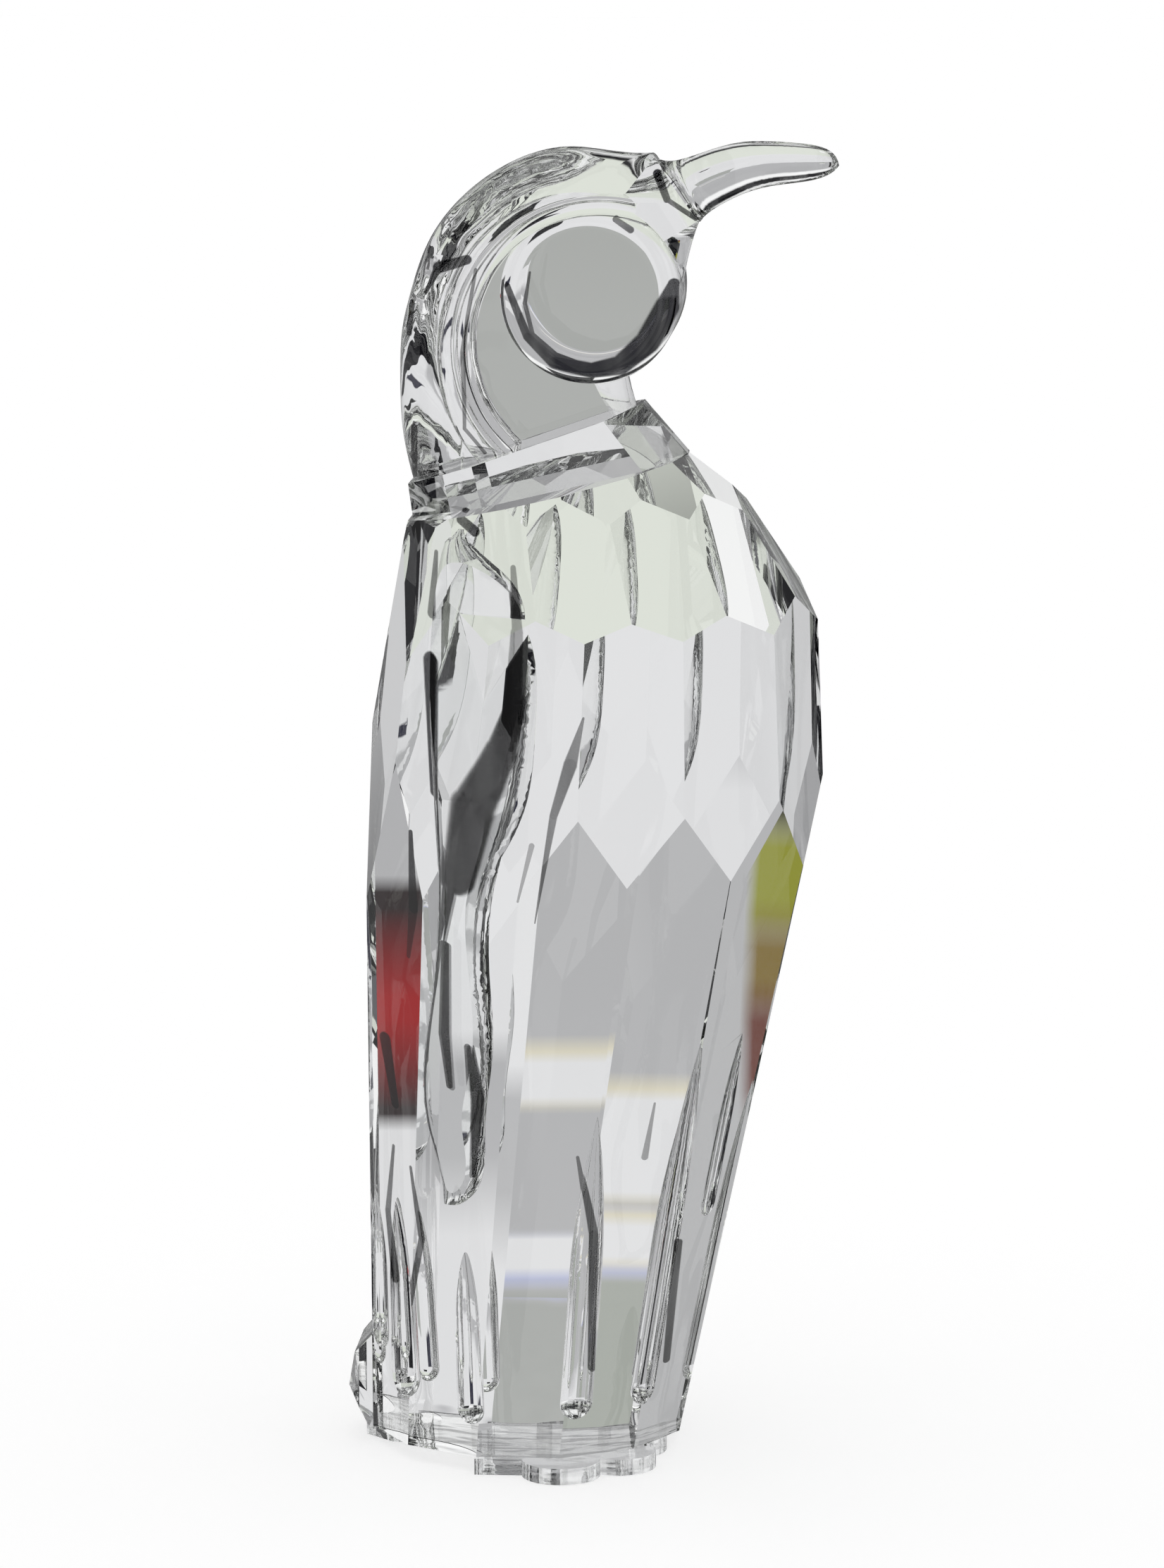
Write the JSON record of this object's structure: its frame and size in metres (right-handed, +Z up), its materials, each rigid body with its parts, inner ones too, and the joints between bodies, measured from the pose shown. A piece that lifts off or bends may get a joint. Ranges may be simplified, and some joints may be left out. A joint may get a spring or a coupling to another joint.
{
  "type": "penguin figurine",
  "caption": "Standing penguin figurine in clear cut crystal: faceted body with flippers, flat-sided neck collar, moulded head and slender beak, on flat feet.",
  "frame": {"origin": "on the ground under the feet, on the upright axis of the skirt", "axes": "+Z up; the bird faces -Y, its right side is -X and its left side is +X"},
  "size_m": [0.0412, 0.0387, 0.1043],
  "materials": {
    "crystal": "clear cut crystal, polished flat facets with crisp edges",
    "moulded_crystal": "clear moulded crystal, fire-polished with soft waves",
    "bond": "clear cured adhesive film"
  },
  "bodies": {
    "root": {"feet": "crystal", "foot_bond": "bond", "torso": "crystal", "tail": "crystal", "tail_bond": "bond", "right_flipper": "crystal", "left_flipper": "crystal", "right_flipper_bond": "bond", "left_flipper_bond": "bond", "neck_bond": "bond", "neck_collar": "crystal", "head_bond": "bond", "head": "moulded_crystal", "beak_bond": "bond", "beak": "moulded_crystal"}
  },
  "joints": []
}
